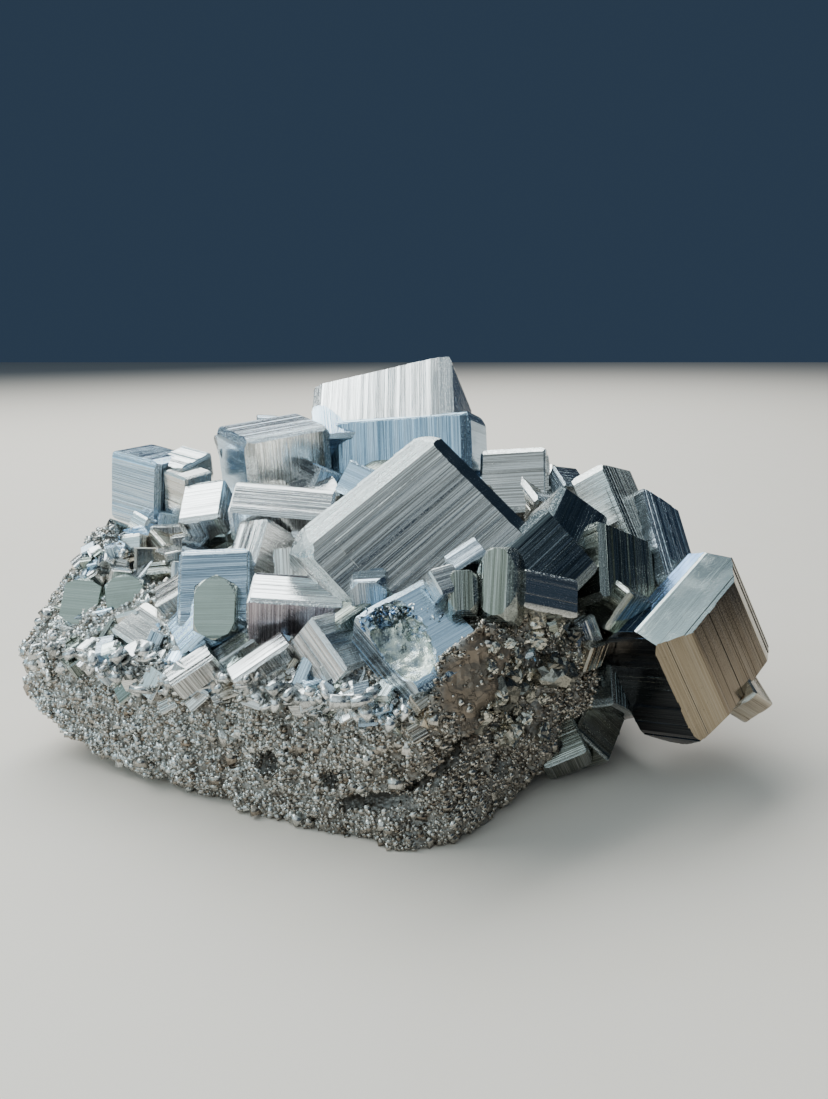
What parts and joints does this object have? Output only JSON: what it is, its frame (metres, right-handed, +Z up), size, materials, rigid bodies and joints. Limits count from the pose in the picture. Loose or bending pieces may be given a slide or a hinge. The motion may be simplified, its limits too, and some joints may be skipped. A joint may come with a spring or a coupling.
{
  "type": "pyrite cluster",
  "caption": "Mineral specimen of striped metallic cubic crystals grown together on a wedge of granular sparkling matrix, with a flat facet to rest on.",
  "frame": {"origin": "a point on the flat facet under the matrix, on which the specimen rests", "axes": "+X to the right of the picture, along the specimen's length; +Y away from the picture's camera; +Z up"},
  "size_m": [0.1203, 0.0818, 0.0597],
  "materials": {
    "pyrite": "metallic crystal faces with fine stripes, and granular sparkling matrix below"
  },
  "bodies": {
    "root": {"pyrite_cluster": "pyrite"}
  },
  "joints": []
}
